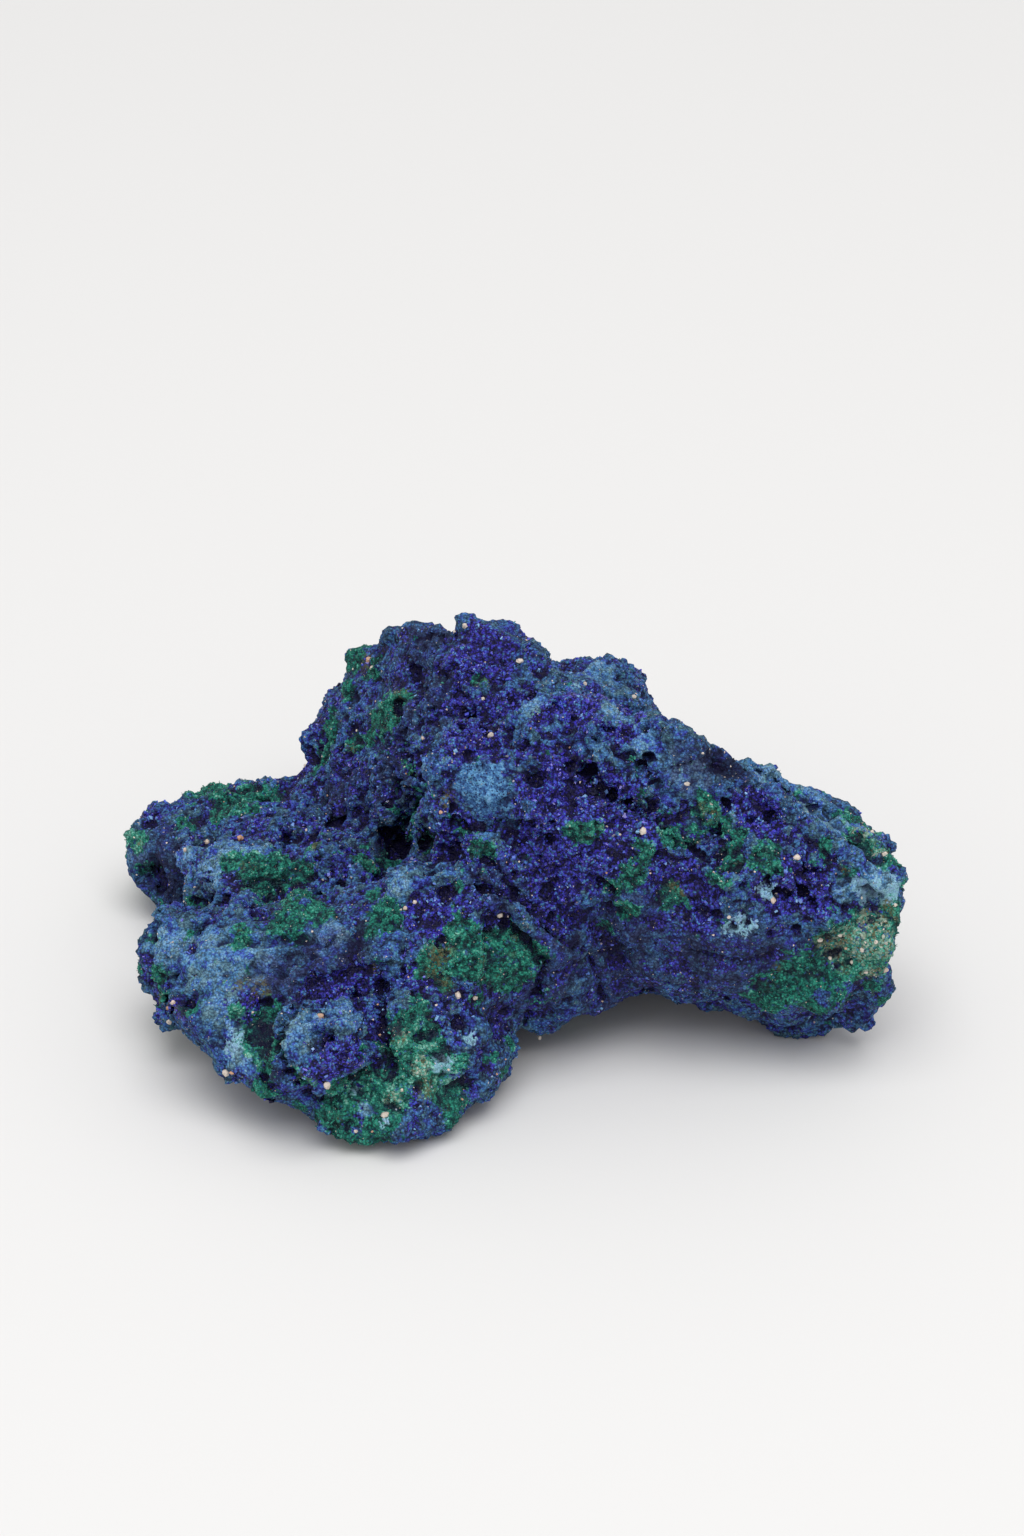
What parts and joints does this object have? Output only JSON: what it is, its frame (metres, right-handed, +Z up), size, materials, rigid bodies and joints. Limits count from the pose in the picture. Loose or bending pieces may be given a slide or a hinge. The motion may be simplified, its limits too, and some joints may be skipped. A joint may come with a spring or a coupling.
{
  "type": "azurite specimen",
  "caption": "Loose natural lump of crusty blue azurite with green malachite: a rough hub with arms, a tower and a low lobe, resting on worn feet.",
  "frame": {"origin": "under the middle of the lump's bounding box, on the surface that it lies on", "axes": "+Z up, the shortest extent; +X along the thick arm; -Y towards the low front lobe"},
  "size_m": [0.0632, 0.0626, 0.0295],
  "materials": {
    "azurite": "matte powdery blue crust, dark and sugary where fine crystals show",
    "azurite_crystals": "deep blue-violet fine crystals, vitreous",
    "malachite": "matte to silky green crust",
    "pale_grains": "dull white and tan grains"
  },
  "bodies": {
    "root": {"azurite_specimen": "azurite"}
  },
  "joints": []
}
